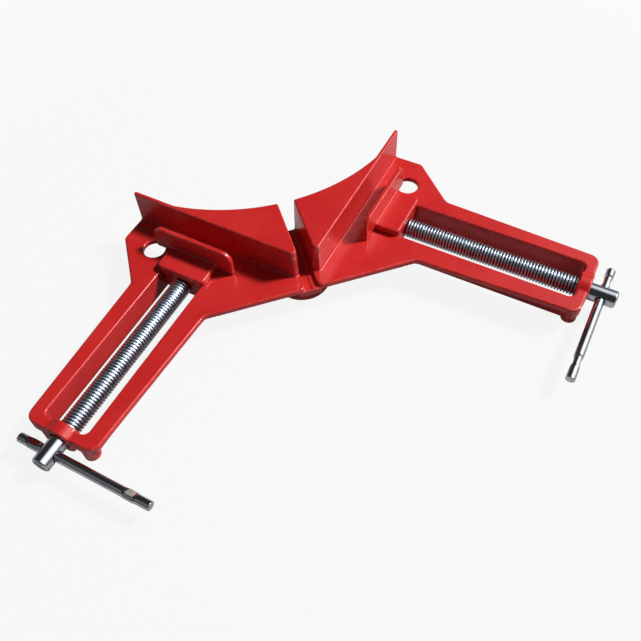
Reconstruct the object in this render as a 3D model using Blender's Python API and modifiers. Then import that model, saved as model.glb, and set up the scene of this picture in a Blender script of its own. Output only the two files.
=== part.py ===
"""Corner clamp that holds two work pieces at 90 degrees.

One red casting has two fences that meet at a right angle and two slotted arms.
In each slot a screw spindle, turned by a sliding tommy bar, pushes a jaw at its fence.

Axes: the right arm runs along +X, the left arm along -Y, and +Z is up.
The origin is the centre of the apex foot, on the plane that the clamp stands on.
Distances named "out" are measured from a fence's face along its arm, and distances
named "along" are measured from the apex, where both fence faces meet, along the fence.
"""
from math import atan2, cos, hypot, pi, radians, sin, sqrt, tan

import bmesh
import bpy
from mathutils import Matrix, Vector

MM = 0.001

# Clearances
CLEAR = 0.3 * MM            # between pieces that bear on each other
TURN_CLEAR = 0.4 * MM       # round a pin or screw that turns in its hole

# Casting: levels
WALL_DEPTH = 11.2 * MM      # from the plate's top to the foot of the walls under it
FOOT_PROUD = 2.0 * MM       # how far the feet stand below the walls
PLATE = 2.5 * MM            # thickness of the plate
END_DEPTH = 5.5 * MM        # height of the arm's end face
WALL = 2.1 * MM             # thickness of the walls round a slot
FENCE_HEIGHT = 14.4 * MM    # fence above the plate

# Casting: fence blocks and the channel between them
FENCE_LENGTH = 82.5 * MM    # apex to fence tip
NOSE_ALONG = 7.3 * MM       # apex to the start of the fence
NOSE_SLANT = 0.25           # how fast the nose falls back, per length away from the face
TIP_THICK = 1.65 * MM        # thin outer end of a fence
TIP_LENGTH = 19.2 * MM      # length of that thin end
BACK_RADIUS = 81.0 * MM     # hollow back of a fence block
PLATE_BACK = 33.2 * MM      # apex to the back edge of the plate, on the middle line
PLATE_FRONT = 1.87 * MM      # apex to the front edge of the plate, on the middle line
GAP_TOP = 3.36 * MM          # half the gap between the blocks, at their top
GAP_LOW = 2.6 * MM         # half the gap at the plate
GAP_STEP = 0.05 * MM        # how far the blocks stand back from the channel's edges
CHANNEL_DEPTH = 1.65 * MM    # channel floor below the plate's top
MOUTH_ROUND = 2.8 * MM      # rounded corners where the channel opens to the front
BLOCK_SKIN = 2.8 * MM       # wall left round the hollow under a fence block
RIB_RISE = 1.2 * MM         # foot of the walls to the foot of the rib in the web
KEEL_HALF = 4.6 * MM        # half the width of the bar under the channel
KEEL_DEPTH = 4.0 * MM
KEEL_INSET = 1.4 * MM       # plate's edges to the ends of that bar

# Casting: arms
ARM_LENGTH = 98.0 * MM      # fence face to the arm's end
SPINDLE_INSET = 34.2 * MM   # fence tip to the spindle's line
SLOT_WIDTH = 19.0 * MM
SLOT_OUT = 9.6 * MM         # fence face to the start of the slot
SLOT_ROUND = 2.6 * MM
END_WALL = 4.2 * MM         # end of the slot to the arm's end
OUTER_RAIL_ROOT = 7.6 * MM  # width of the rail further from the apex, at the shoulder
OUTER_RAIL_END = 5.4 * MM
INNER_RAIL_ROOT = 9.2 * MM
INNER_RAIL_END = 6.5 * MM
ROOT_OUT = 31.0 * MM        # fence face to where a shoulder meets its rail
SHOULDER_OUT = 12.5 * MM    # fence face to the shoulder's corner
SHOULDER_INSET = 0.4 * MM   # fence tip to the shoulder's edge beside it
SHOULDER_ROUND = 2.2 * MM
ROOT_ROUND = 4.0 * MM
WEB_ROUND = 3.0 * MM
ARM_ROUND = 4.2 * MM
HOLE_RADIUS = 4.6 * MM      # screw hole in each shoulder
HOLE_OUT = 12.05 * MM
HOLE_INSET = 15.3 * MM      # fence tip to the middle of that hole
FOOT_RADIUS = 3.1 * MM
FOOT_INSET = 3.4 * MM       # arm's end to the middle of a foot
FOOT_SPREAD = 9.0 * MM      # spindle's line to the middle of a foot
APEX_RADIUS = 11.8 * MM
APEX_BACK = 14.14 * MM      # apex to the middle of the apex foot

# Spindle, which is M8 with a 1.25 mm pitch
SPINDLE_DROP = 4.4 * MM     # spindle's line below the plate's top
THREAD_RADIUS = 4.0 * MM    # M8 by 1.25, right-handed
THREAD_PITCH = 1.25 * MM
THREAD_DEPTH = 0.75 * MM
THREAD_SIDES = 14           # facets a turn
SHANK_RADIUS = 3.55 * MM    # plain head end that the tommy bar goes through
NECK_RADIUS = 2.5 * MM
GROOVE_RADIUS = 1.9 * MM
SHANK_LENGTH = 11.1 * MM    # arm's end to the end of the head
BAR_OUT = 5.4 * MM          # arm's end to the tommy bar's middle
NOSE_LENGTH = 0.8 * MM      # stub of the spindle past the retaining ring
BOSS_RADIUS = 6.5 * MM      # tapped boss in the arm's end
BOSS_PROUD = 0.3 * MM       # arm's end to the face of the boss

# Jaw
JAW_REST = 8.2 * MM         # fence to jaw when the screw is right in
JAW_PLATE = 2.0 * MM
JAW_WIDTH = 36.8 * MM
JAW_HEIGHT = 11.25 * MM
JAW_ROUND = 4.4 * MM
JAW_FOOT_ROUND = 0.6 * MM
JAW_LENGTH = 12.7 * MM      # jaw's face to the back of its slab
SLAB_WIDTH = 22.0 * MM
SLAB_HEIGHT = 3.0 * MM
SLAB_ROUND = 2.2 * MM
TONGUE_INSET = 0.6 * MM     # back of the slab to the back of the tongue
TONGUE_LENGTH = 6.6 * MM
TONGUE_DEPTH = 9.4 * MM     # from the slab's underside

# Washer and retaining ring in front of the tongue
WASHER_RADIUS = 4.2 * MM
WASHER_THICK = 0.8 * MM
RING_RADIUS = 4.1 * MM
RING_THICK = 0.8 * MM
RING_OPENING = 70.0         # degrees

# Tommy bar
BAR_RADIUS = 1.8 * MM
BAR_LENGTH = 57.0 * MM
CRIMP_OUTER = 3.6 * MM      # bar's outer end to its crimp
CRIMP_INNER = 5.3 * MM      # the same at its inner end
CRIMP_LENGTH = 6.4 * MM
CRIMP_WIDE = 1.32           # width of a crimp, as a share of the bar's diameter
CRIMP_FLAT = 0.7            # thickness of a crimp, as a share of the bar's diameter
BAR_CHAMFER = 0.4 * MM

# Places worked out from the sizes
ROOT2 = sqrt(2.0)
PLATE_TOP = WALL_DEPTH + FOOT_PROUD
PLATE_UNDER = PLATE_TOP - PLATE
WALL_FOOT = PLATE_TOP - WALL_DEPTH
AXIS_HEIGHT = PLATE_TOP - SPINDLE_DROP
APEX = Vector((APEX_BACK / ROOT2, -APEX_BACK / ROOT2, 0.0))
SPINDLE_ALONG = FENCE_LENGTH - SPINDLE_INSET
SHOULDER_ALONG = FENCE_LENGTH - SHOULDER_INSET
HOLE_ALONG = FENCE_LENGTH - HOLE_INSET
SLOT_NEAR = SPINDLE_ALONG - SLOT_WIDTH / 2
SLOT_FAR = SPINDLE_ALONG + SLOT_WIDTH / 2
SLOT_END = ARM_LENGTH - END_WALL
OVERLAP = 0.5 * MM          # how deep a joined shape reaches into its neighbour
PAST = 6.0 * MM             # how far a cutter or a half reaches past the face that it meets


def clear_scene():
    """Remove whatever the open file holds."""
    for thing in list(bpy.data.objects):
        bpy.data.objects.remove(thing, do_unlink=True)
    for group in list(bpy.data.collections):
        bpy.data.collections.remove(group)


def new_collection(name):
    group = bpy.data.collections.new(name)
    bpy.context.scene.collection.children.link(group)
    return group


def material(name, colour, roughness, metallic):
    made = bpy.data.materials.new(name)
    made.use_nodes = True
    shader = made.node_tree.nodes["Principled BSDF"]
    shader.inputs["Base Color"].default_value = (*colour, 1.0)
    shader.inputs["Roughness"].default_value = roughness
    shader.inputs["Metallic"].default_value = metallic
    made.diffuse_color = (*colour, 1.0)
    return made


def rounded(corners):
    """Turn corners (x, y, radius) into outline points, with an arc at each radius above 0."""
    points = []
    count = len(corners)
    for i, (x, y, radius) in enumerate(corners):
        here = Vector((x, y))
        if radius <= 0:
            points.append(here)
            continue
        before = (Vector(corners[i - 1][:2]) - here).normalized()
        after = (Vector(corners[(i + 1) % count][:2]) - here).normalized()
        half = before.angle(after) / 2
        reach = radius / tan(half)
        centre = here + (before + after).normalized() * (radius / sin(half))
        start = here + before * reach - centre
        turn = before.cross(after)
        sweep = (pi - 2 * half) * (-1 if turn > 0 else 1)
        steps = max(2, round(abs(sweep) / radians(15)))
        for k in range(steps + 1):
            angle = sweep * k / steps
            points.append(centre + Matrix.Rotation(angle, 2) @ start)
    return points


def arc_between(start, end, radius, steps):
    """Points strictly between start and end on an arc that bulges to the left of the way there."""
    way = end - start
    middle = (start + end) / 2
    side = Vector((way.y, -way.x)).normalized()
    rise = sqrt(radius * radius - (way.length / 2) ** 2)
    centre = middle + side * rise
    first = atan2(*(start - centre).yx)
    last = atan2(*(end - centre).yx)
    sweep = (last - first + pi) % (2 * pi) - pi
    return [
        centre + Vector((cos(first + sweep * k / steps), sin(first + sweep * k / steps))) * radius
        for k in range(1, steps)
    ]


def settled(thing, dissolve=True):
    """Replace a thing by its evaluated mesh, welded, in the thing's own space. Edges between faces
    that lie in one plane are dissolved, unless a later step moves their points."""
    bpy.context.view_layer.update()
    graph = bpy.context.evaluated_depsgraph_get()
    mesh = bpy.data.meshes.new_from_object(thing.evaluated_get(graph))
    shape = bmesh.new()
    shape.from_mesh(mesh)
    bmesh.ops.remove_doubles(shape, verts=shape.verts, dist=1e-6)
    if dissolve:
        bmesh.ops.dissolve_limit(
            shape, angle_limit=radians(0.05), verts=shape.verts, edges=shape.edges)
    bmesh.ops.recalc_face_normals(shape, faces=shape.faces)
    shape.to_mesh(mesh)
    shape.free()
    name = thing.name
    place = thing.matrix_world.copy()
    home = thing.users_collection[0]
    bpy.data.objects.remove(thing, do_unlink=True)
    made = bpy.data.objects.new(name, mesh)
    home.objects.link(made)
    made.matrix_world = place
    return made


def prism(name, outlines, low, high, group, place=None):
    """Extrude flat outlines from low to high along the local Z axis."""
    curve = bpy.data.curves.new(name, "CURVE")
    curve.dimensions = "2D"
    curve.fill_mode = "BOTH"
    curve.extrude = (high - low) / 2
    for outline in outlines:
        spline = curve.splines.new("POLY")
        spline.points.add(len(outline) - 1)
        for point, corner in zip(spline.points, outline):
            point.co = (corner[0], corner[1], 0.0, 1.0)
        spline.use_cyclic_u = True
    thing = bpy.data.objects.new(name, curve)
    group.objects.link(thing)
    thing.matrix_world = (place or Matrix()) @ Matrix.Translation((0, 0, (low + high) / 2))
    return settled(thing)


def cylinder(name, radius, low, high, group, place=None, sides=32):
    """Round bar from low to high along the local Z axis."""
    shape = bmesh.new()
    bmesh.ops.create_cone(
        shape, cap_ends=True, segments=sides, radius1=radius, radius2=radius, depth=high - low)
    mesh = bpy.data.meshes.new(name)
    shape.to_mesh(mesh)
    shape.free()
    thing = bpy.data.objects.new(name, mesh)
    group.objects.link(thing)
    thing.matrix_world = (place or Matrix()) @ Matrix.Translation((0, 0, (low + high) / 2))
    return thing


def block(name, low, high, group):
    """Box between two corners."""
    shape = bmesh.new()
    size = Vector(high) - Vector(low)
    middle = (Vector(high) + Vector(low)) / 2
    bmesh.ops.create_cube(shape, size=1.0, matrix=Matrix.Diagonal((*size, 1.0)))
    mesh = bpy.data.meshes.new(name)
    shape.to_mesh(mesh)
    shape.free()
    thing = bpy.data.objects.new(name, mesh)
    group.objects.link(thing)
    thing.location = middle
    return thing


def turned(name, profile, group, steps=32, dissolve=True):
    """Revolve a profile of (height, radius) about the local Z axis."""
    mesh = bpy.data.meshes.new(name)
    points = [(radius, 0.0, height) for height, radius in reversed(profile)]
    edges = [(i, i + 1) for i in range(len(points) - 1)]
    mesh.from_pydata(points, edges, [])
    thing = bpy.data.objects.new(name, mesh)
    group.objects.link(thing)
    screw = thing.modifiers.new("Revolve", "SCREW")
    screw.axis = "Z"
    screw.steps = steps
    screw.render_steps = steps
    screw.use_merge_vertices = True
    screw.merge_threshold = 0.00001
    return settled(thing, dissolve)


def combine(thing, other, operation):
    """Join another solid to a thing, or cut it away."""
    change = thing.modifiers.new(other.name, "BOOLEAN")
    change.operation = operation
    change.object = other
    change.solver = "EXACT"
    other.hide_render = True
    other.display_type = "WIRE"


def shade(thing, look, angle=35.0):
    thing.data.materials.clear()
    thing.data.materials.append(look)
    thing.data.shade_smooth()
    thing.data.set_sharp_from_angle(angle=radians(angle))


def on_plate(out, along):
    """Place on the right half, from its distances out of the fence and along it."""
    return Vector((APEX.x + out, APEX.y + along))


def on_middle(side, back):
    """Place from its distances to the right of the middle line and behind the apex."""
    return Vector((APEX.x + (side - back) / ROOT2, APEX.y + (side + back) / ROOT2))


def plan(points):
    """Outline on the right half from corners (out, along) or (out, along, radius)."""
    return rounded([(*on_plate(*p[:2]), p[2] if len(p) > 2 else 0.0) for p in points])


def along_arm(height):
    """Matrix that stands a shape's local Z axis along the right arm, at its spindle's line."""
    line = on_plate(0.0, SPINDLE_ALONG)
    return Matrix.Translation((line.x, line.y, height)) @ Matrix.Rotation(pi / 2, 4, "Y")


def plate_outline():
    """Edge of the plate: web, arm, shoulder, and the inside of the fence block."""
    near_root = SLOT_NEAR - INNER_RAIL_ROOT
    near_end = SLOT_NEAR - INNER_RAIL_END
    slope = (near_end - near_root) / (ARM_LENGTH - ROOT_OUT)
    front = PLATE_FRONT * ROOT2
    web_out = (near_root - slope * ROOT_OUT + front) / (1 - slope)
    arm = plan([
        ((PLATE_FRONT - PAST) / ROOT2, (-PLATE_FRONT - PAST) / ROOT2),
        (web_out, web_out - front, WEB_ROUND),
        (ARM_LENGTH, near_end, ARM_ROUND),
        (ARM_LENGTH, SLOT_FAR + OUTER_RAIL_END, ARM_ROUND),
        (ROOT_OUT, SLOT_FAR + OUTER_RAIL_ROOT, ROOT_ROUND),
        (SHOULDER_OUT, SHOULDER_ALONG, SHOULDER_ROUND),
        (-TIP_THICK / 2, SHOULDER_ALONG),
    ])
    inside = [p + Vector((TIP_THICK, -TIP_THICK)) / 2 for p in block_back()]
    back = PLATE_BACK - TIP_THICK
    return [*arm, *inside, on_middle(-PAST, back)]


def block_back():
    """Hollow back of a fence block, from its thin end to the corner at the channel."""
    start = on_plate(-TIP_THICK, FENCE_LENGTH - TIP_LENGTH)
    end = on_middle(GAP_TOP, PLATE_BACK)
    return [start, *arc_between(start, end, BACK_RADIUS, 14), end]


def block_outline():
    """Fence block seen from above, reaching past the middle line."""
    nose = on_plate(0.0, NOSE_ALONG)
    slant = Vector((-1.0, -NOSE_SLANT)).normalized()
    reach = (nose - APEX.xy).dot(Vector((1, 1))) + 2 * PAST
    return [
        nose,
        on_plate(0.0, FENCE_LENGTH),
        on_plate(-TIP_THICK, FENCE_LENGTH),
        *block_back(),
        on_middle(-2 * PAST, PLATE_BACK),
        nose + slant * reach / -(slant.x + slant.y),
    ]


def hollow_outline():
    """Hollow under a fence block, one skin inside its face, channel wall and back."""
    face_end = Vector((APEX.x - BLOCK_SKIN, 0.0))
    wall_line = (GAP_TOP + BLOCK_SKIN) * ROOT2
    near = Vector((face_end.x, APEX.y + wall_line + BLOCK_SKIN))
    back = [p + Vector((1.0, -1.0)).normalized() * BLOCK_SKIN for p in block_back()]
    kept = [
        p for p in back
        if p.x < face_end.x - BLOCK_SKIN / 2 and (p - APEX.xy).dot(Vector((1, 1))) > wall_line
    ]
    far = Vector((face_end.x, kept[0].y))
    last = kept[-1]
    return [near, far, *kept, Vector((last.x, APEX.y + wall_line - (last.x - APEX.x)))]


def gap_between_blocks(group):
    """Cutter for the gap between the fence blocks, wider at its top."""
    top = PLATE_TOP + FENCE_HEIGHT
    spread = (GAP_TOP - GAP_LOW) / FENCE_HEIGHT
    low = PLATE_TOP - CHANNEL_DEPTH / 2
    above = top + PAST
    right = [
        (GAP_LOW + GAP_STEP + spread * (low - PLATE_TOP), low),
        (GAP_LOW + GAP_STEP + spread * (above - PLATE_TOP), above),
    ]
    outline = right + [(-x, z) for x, z in reversed(right)]
    axes = Matrix(((1, 0, 0, 0), (0, 0, 1, 0), (0, 1, 0, 0), (0, 0, 0, 1)))
    place = Matrix.Translation(APEX) @ Matrix.Rotation(pi / 4, 4, "Z") @ axes
    return prism("gap_cutter", [outline], -PLATE_FRONT - PAST, PLATE_BACK + PAST, group, place)


def channel(group):
    """Cutter for the channel in the plate, whose mouth is rounded out to the front edge."""
    low = -PLATE_FRONT
    arc = [
        (GAP_LOW + MOUTH_ROUND * (1 - sin(radians(k * 15))), low + MOUTH_ROUND * (1 - cos(radians(k * 15))))
        for k in range(7)
    ]
    ahead = low - 1.5 * PAST
    right = [(GAP_LOW + MOUTH_ROUND, ahead), *arc, (GAP_LOW, PLATE_BACK + 2 * PAST)]
    outline = right + [(-x, y) for x, y in reversed(right)]
    place = Matrix.Translation(APEX) @ Matrix.Rotation(pi / 4, 4, "Z")
    floor = PLATE_TOP - CHANNEL_DEPTH
    return prism("channel_cutter", [outline], floor, PLATE_TOP + CHANNEL_DEPTH / 4, group, place)


def ring_walls(group):
    """Deep wall round the slot, under the plate."""
    outline = plan([
        (SLOT_OUT - WALL, SLOT_NEAR - WALL, SLOT_ROUND + WALL),
        (SLOT_END + WALL, SLOT_NEAR - WALL, SLOT_ROUND + WALL),
        (SLOT_END + WALL, SLOT_FAR + WALL, SLOT_ROUND + WALL),
        (SLOT_OUT - WALL, SLOT_FAR + WALL, SLOT_ROUND + WALL),
    ])
    return prism("slot_walls", [outline], WALL_FOOT, PLATE_UNDER + OVERLAP, group)


def slot(group):
    outline = plan([
        (SLOT_OUT, SLOT_NEAR, SLOT_ROUND),
        (SLOT_END, SLOT_NEAR, SLOT_ROUND),
        (SLOT_END, SLOT_FAR, SLOT_ROUND),
        (SLOT_OUT, SLOT_FAR, SLOT_ROUND),
    ])
    return prism("slot_cutter", [outline], -PAST, PLATE_TOP + PAST, group)


def web_rib(group):
    """Rib under the plate from the apex foot to the slot's walls."""
    start = Vector((0.0, 0.0))
    end = on_plate(SLOT_OUT + SLOT_ROUND, SLOT_NEAR - WALL / 2)
    way = (end - start).normalized()
    side = Vector((-way.y, way.x)) * WALL / 2
    outline = [start - side, end - side, end + side, start + side]
    return prism("web_rib", [outline], WALL_FOOT + RIB_RISE, PLATE_UNDER + OVERLAP / 2, group)


def keel(group):
    """Bar under the channel, which carries its thin floor from the front to the back."""
    outline = [
        on_middle(-KEEL_HALF, KEEL_INSET - PLATE_FRONT), on_middle(KEEL_HALF, KEEL_INSET - PLATE_FRONT),
        on_middle(KEEL_HALF, PLATE_BACK - KEEL_INSET), on_middle(-KEEL_HALF, PLATE_BACK - KEEL_INSET),
    ]
    return prism("channel_keel", [outline], PLATE_UNDER - KEEL_DEPTH, PLATE_UNDER + OVERLAP, group)


def make_casting(parts, helpers, look):
    """Right half of the casting, mirrored in the plane that stands on the middle line."""
    body = prism("frame", [plate_outline()], PLATE_TOP - END_DEPTH, PLATE_TOP, parts)

    # thin the plate everywhere but at the arm's end
    edge = on_plate(SLOT_END + 0.7 * WALL, 0.0).x
    low = (-FENCE_LENGTH, -FENCE_LENGTH, PLATE_TOP - END_DEPTH - PAST)
    high = (edge, FENCE_LENGTH + PAST, PLATE_UNDER)
    combine(body, block("plate_underside_cutter", low, high, helpers), "DIFFERENCE")

    # fence block, hollow from below
    top = PLATE_TOP + FENCE_HEIGHT
    fence = prism("fence_block", [block_outline()], PLATE_UNDER - OVERLAP, top, helpers)
    combine(body, fence, "UNION")
    hollow = prism("block_hollow", [hollow_outline()], 0.0, top - BLOCK_SKIN, helpers)
    combine(body, hollow, "DIFFERENCE")
    combine(body, ring_walls(helpers), "UNION")
    combine(body, keel(helpers), "UNION")
    apex_foot = cylinder("apex_foot", APEX_RADIUS, 0.0, PLATE_UNDER + 2 * OVERLAP, helpers, sides=64)
    combine(body, apex_foot, "UNION")
    combine(body, web_rib(helpers), "UNION")
    for name, side in (("near_foot", -1), ("far_foot", 1)):
        spot = on_plate(ARM_LENGTH - FOOT_INSET, SPINDLE_ALONG + side * FOOT_SPREAD)
        place = Matrix.Translation((spot.x, spot.y, 0.0))
        foot = cylinder(name, FOOT_RADIUS, 0.0, PLATE_UNDER + OVERLAP, helpers, place, 24)
        combine(body, foot, "UNION")

    combine(body, slot(helpers), "DIFFERENCE")
    boss = cylinder(
        "tapped_boss", BOSS_RADIUS, SLOT_END - OVERLAP, ARM_LENGTH + BOSS_PROUD, helpers,
        along_arm(AXIS_HEIGHT), 48)
    combine(body, boss, "UNION")
    tapped = cylinder(
        "tapped_hole", THREAD_RADIUS + TURN_CLEAR, SLOT_END - PAST, ARM_LENGTH + PAST, helpers,
        along_arm(AXIS_HEIGHT), 32)
    combine(body, tapped, "DIFFERENCE")

    spot = on_plate(HOLE_OUT, HOLE_ALONG)
    place = Matrix.Translation((spot.x, spot.y, 0.0))
    hole = cylinder("shoulder_hole", HOLE_RADIUS, 0.0, PLATE_TOP + PAST, helpers, place, 32)
    combine(body, hole, "DIFFERENCE")
    combine(body, channel(helpers), "DIFFERENCE")
    combine(body, gap_between_blocks(helpers), "DIFFERENCE")

    middle = bpy.data.objects.new("middle_line", None)
    helpers.objects.link(middle)
    middle.location = APEX
    middle.rotation_euler = (0.0, 0.0, pi / 4)
    mirror = body.modifiers.new("Other half", "MIRROR")
    mirror.mirror_object = middle
    mirror.use_axis = (True, False, False)
    mirror.use_bisect_axis = (True, False, False)
    mirror.use_clip = False
    mirror.merge_threshold = 0.00001
    shade(body, look)
    return body


def make_jaw(parts, helpers, look):
    """Jaw with its face at local X = 0 and the spindle's line at local Y = Z = 0."""
    foot = SPINDLE_DROP + CLEAR
    upright = rounded([
        (-JAW_WIDTH / 2, foot, JAW_FOOT_ROUND),
        (JAW_WIDTH / 2, foot, JAW_FOOT_ROUND),
        (JAW_WIDTH / 2, foot + JAW_HEIGHT, JAW_ROUND),
        (-JAW_WIDTH / 2, foot + JAW_HEIGHT, JAW_ROUND),
    ])
    # local axes of the outline: along the fence, up, and out of the fence
    axes = Matrix(((0, 0, 1, 0), (1, 0, 0, 0), (0, 1, 0, 0), (0, 0, 0, 1)))
    jaw = prism("jaw_right", [upright], 0.0, JAW_PLATE, parts, axes)
    slab = prism("jaw_slab", [rounded([
        (JAW_PLATE - OVERLAP, -SLAB_WIDTH / 2, 0.0),
        (JAW_LENGTH, -SLAB_WIDTH / 2, SLAB_ROUND),
        (JAW_LENGTH, SLAB_WIDTH / 2, SLAB_ROUND),
        (JAW_PLATE - OVERLAP, SLAB_WIDTH / 2, 0.0),
    ])], foot, foot + SLAB_HEIGHT, helpers)
    combine(jaw, slab, "UNION")
    back = JAW_LENGTH - TONGUE_INSET
    front = back - TONGUE_LENGTH
    half = SLOT_WIDTH / 2 - CLEAR
    tongue = block(
        "jaw_tongue", (front, -half, foot - TONGUE_DEPTH), (back, half, foot + OVERLAP), helpers)
    combine(jaw, tongue, "UNION")
    turn = Matrix.Rotation(pi / 2, 4, "Y")
    bore = cylinder("jaw_bore", NECK_RADIUS + TURN_CLEAR, front - PAST, back + PAST, helpers, turn, 24)
    combine(jaw, bore, "DIFFERENCE")
    jaw = settled(jaw)
    jaw.data.transform(jaw.matrix_world)
    jaw.matrix_world = Matrix()
    shade(jaw, look)
    return jaw


def spindle_stations():
    """Places along the spindle, as distances from the fence's face with the jaw at rest."""
    shoulder = JAW_REST + JAW_LENGTH - TONGUE_INSET + CLEAR
    tongue_front = JAW_REST + JAW_LENGTH - TONGUE_INSET - TONGUE_LENGTH
    washer = tongue_front - CLEAR
    ring = washer - WASHER_THICK - CLEAR
    groove = ring - RING_THICK - CLEAR
    return {
        "shoulder": shoulder, "washer": washer, "ring": ring, "groove": groove,
        "nose": groove - NOSE_LENGTH, "shank": ARM_LENGTH - CLEAR,
        "bar": ARM_LENGTH + BAR_OUT, "end": ARM_LENGTH + SHANK_LENGTH,
    }


def thread_body(name, low, high, edge, group):
    """Threaded rod along local Z: a root helix and a crest helix half a pitch apart, joined by
    flanks, with a ring below and one above. The crest rises and falls over half a turn."""
    sides = THREAD_SIDES
    root = THREAD_RADIUS - THREAD_DEPTH
    first = low + edge
    steps = int((high - first) / THREAD_PITCH * sides)
    crests = steps - sides
    shape = bmesh.new()

    def ring_point(k, radius, height):
        turn = 2 * pi * k / sides
        return shape.verts.new((radius * cos(turn), radius * sin(turn), height))

    def grown(k):
        share = min(1.0, (k + 1) / (sides / 2), (crests - k + 1) / (sides / 2))
        return root + THREAD_DEPTH * share

    roots = [ring_point(k, root, first + THREAD_PITCH * k / sides) for k in range(steps + 1)]
    tops = [ring_point(k, grown(k), first + THREAD_PITCH * (k / sides + 0.5)) for k in range(crests + 1)]
    below = [ring_point(k, root - edge / 2, low) for k in range(sides)]
    above = [ring_point(crests + k, root - edge / 4, high + edge + OVERLAP) for k in range(sides)]
    for k in range(crests):
        shape.faces.new((roots[k], roots[k + 1], tops[k + 1]))
        shape.faces.new((roots[k], tops[k + 1], tops[k]))
        shape.faces.new((tops[k], tops[k + 1], roots[k + 1 + sides]))
        shape.faces.new((tops[k], roots[k + 1 + sides], roots[k + sides]))
    for k in range(sides):
        after = (k + 1) % sides
        shape.faces.new((below[k], below[after], roots[k + 1]))
        shape.faces.new((below[k], roots[k + 1], roots[k]))
        shape.faces.new((roots[crests + k], roots[crests + k + 1], above[after]))
        shape.faces.new((roots[crests + k], above[after], above[k]))
    shape.faces.new((below[0], roots[0], tops[0], roots[sides]))
    shape.faces.new((above[0], roots[steps], tops[crests], roots[crests]))
    shape.faces.new(list(reversed(below)))
    shape.faces.new(above)
    bmesh.ops.recalc_face_normals(shape, faces=shape.faces)
    mesh = bpy.data.meshes.new(name)
    shape.to_mesh(mesh)
    shape.free()
    thing = bpy.data.objects.new(name, mesh)
    group.objects.link(thing)
    return thing


def make_spindle(parts, helpers, look):
    """Threaded rod with a turned neck and head, its line on local Z from the fence's face."""
    at = spindle_stations()
    edge = 0.5 * MM
    root = THREAD_RADIUS - THREAD_DEPTH
    spindle = turned("spindle_right", [
        (at["nose"], 0.0),
        (at["nose"], NECK_RADIUS - edge),
        (at["nose"] + edge, NECK_RADIUS),
        (at["groove"], NECK_RADIUS),
        (at["groove"], GROOVE_RADIUS),
        (at["ring"] + CLEAR, GROOVE_RADIUS),
        (at["ring"] + CLEAR, NECK_RADIUS),
        (at["shoulder"] + OVERLAP, NECK_RADIUS),
        (at["shoulder"] + 2 * OVERLAP, root / 2),
        (at["shank"] - OVERLAP, root / 2),
        (at["shank"] - OVERLAP, root),
        (at["shank"] - OVERLAP / 2, SHANK_RADIUS),
        (at["end"] - edge, SHANK_RADIUS),
        (at["end"], SHANK_RADIUS - edge),
        (at["end"], 0.0),
    ], parts)
    rod = thread_body("spindle_thread", at["shoulder"], at["shank"] - 2 * edge, edge, helpers)
    combine(spindle, rod, "UNION")
    across = Matrix.Translation((0, 0, at["bar"])) @ Matrix.Rotation(pi / 2, 4, "X")
    reach = SHANK_RADIUS + PAST
    hole = cylinder("bar_hole", BAR_RADIUS + CLEAR, -reach, reach, helpers, across, 24)
    combine(spindle, hole, "DIFFERENCE")
    spindle = settled(spindle)
    shade(spindle, look)
    return spindle


def make_washer(parts, look):
    """Thrust washer with its back face at local Z = 0."""
    inner = NECK_RADIUS + CLEAR
    washer = turned("thrust_washer_right", [
        (-WASHER_THICK, inner), (-WASHER_THICK, WASHER_RADIUS),
        (0.0, WASHER_RADIUS), (0.0, inner), (-WASHER_THICK, inner),
    ], parts, 24)
    shade(washer, look)
    return washer


def make_ring(parts, look):
    """Open retaining ring that sits in the spindle's groove, its back face at local Z = 0."""
    inner = GROOVE_RADIUS + CLEAR
    half = radians(RING_OPENING / 2)
    steps = 24
    turns = [half + (2 * pi - 2 * half) * k / steps for k in range(steps + 1)]
    outline = [(RING_RADIUS * cos(t), RING_RADIUS * sin(t)) for t in turns]
    outline += [(inner * cos(t), inner * sin(t)) for t in reversed(turns)]
    ring = prism("retaining_ring_right", [outline], -RING_THICK, 0.0, parts)
    ring.data.transform(ring.matrix_world)
    ring.matrix_world = Matrix()
    shade(ring, look)
    return ring


def make_bar(parts, look):
    """Tommy bar along local Z with its middle at the origin, crimped near both ends."""
    half = BAR_LENGTH / 2
    ramp = CRIMP_LENGTH * 0.28
    inner = CRIMP_INNER - half
    outer = half - CRIMP_OUTER - CRIMP_LENGTH
    steps = (0, ramp / 2, ramp, CRIMP_LENGTH - ramp, CRIMP_LENGTH - ramp / 2, CRIMP_LENGTH)
    profile = [(-half, 0.0), (-half, BAR_RADIUS - BAR_CHAMFER), (-half + BAR_CHAMFER, BAR_RADIUS)]
    profile += [(start + step, BAR_RADIUS) for start in (inner, outer) for step in steps]
    profile += [(half - BAR_CHAMFER, BAR_RADIUS), (half, BAR_RADIUS - BAR_CHAMFER), (half, 0.0)]
    bar = turned("tommy_bar_right", profile, parts, 20, dissolve=False)
    for vertex in bar.data.vertices:
        start = inner if vertex.co.z < 0 else outer
        inset = min(vertex.co.z - start, start + CRIMP_LENGTH - vertex.co.z)
        share = min(1.0, max(0.0, inset / ramp))
        press = share * share * (3 - 2 * share)
        vertex.co.x *= 1 + (CRIMP_WIDE - 1) * press
        vertex.co.y *= 1 + (CRIMP_FLAT - 1) * press
    shade(bar, look, 50.0)
    return bar


def arm_line(name, spot, turn, helpers):
    """Empty on a spindle's line at the fence's face, its X axis pointing out along the arm."""
    line = bpy.data.objects.new(name, None)
    helpers.objects.link(line)
    line.location = (spot.x, spot.y, AXIS_HEIGHT)
    line.rotation_euler = (0.0, 0.0, turn)
    return line


def put(thing, line, location, rotation):
    thing.parent = line
    thing.matrix_parent_inverse = Matrix()
    thing.location = location
    thing.rotation_euler = rotation


def copy_of(thing, name, parts):
    made = bpy.data.objects.new(name, thing.data)
    parts.objects.link(made)
    return made


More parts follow.
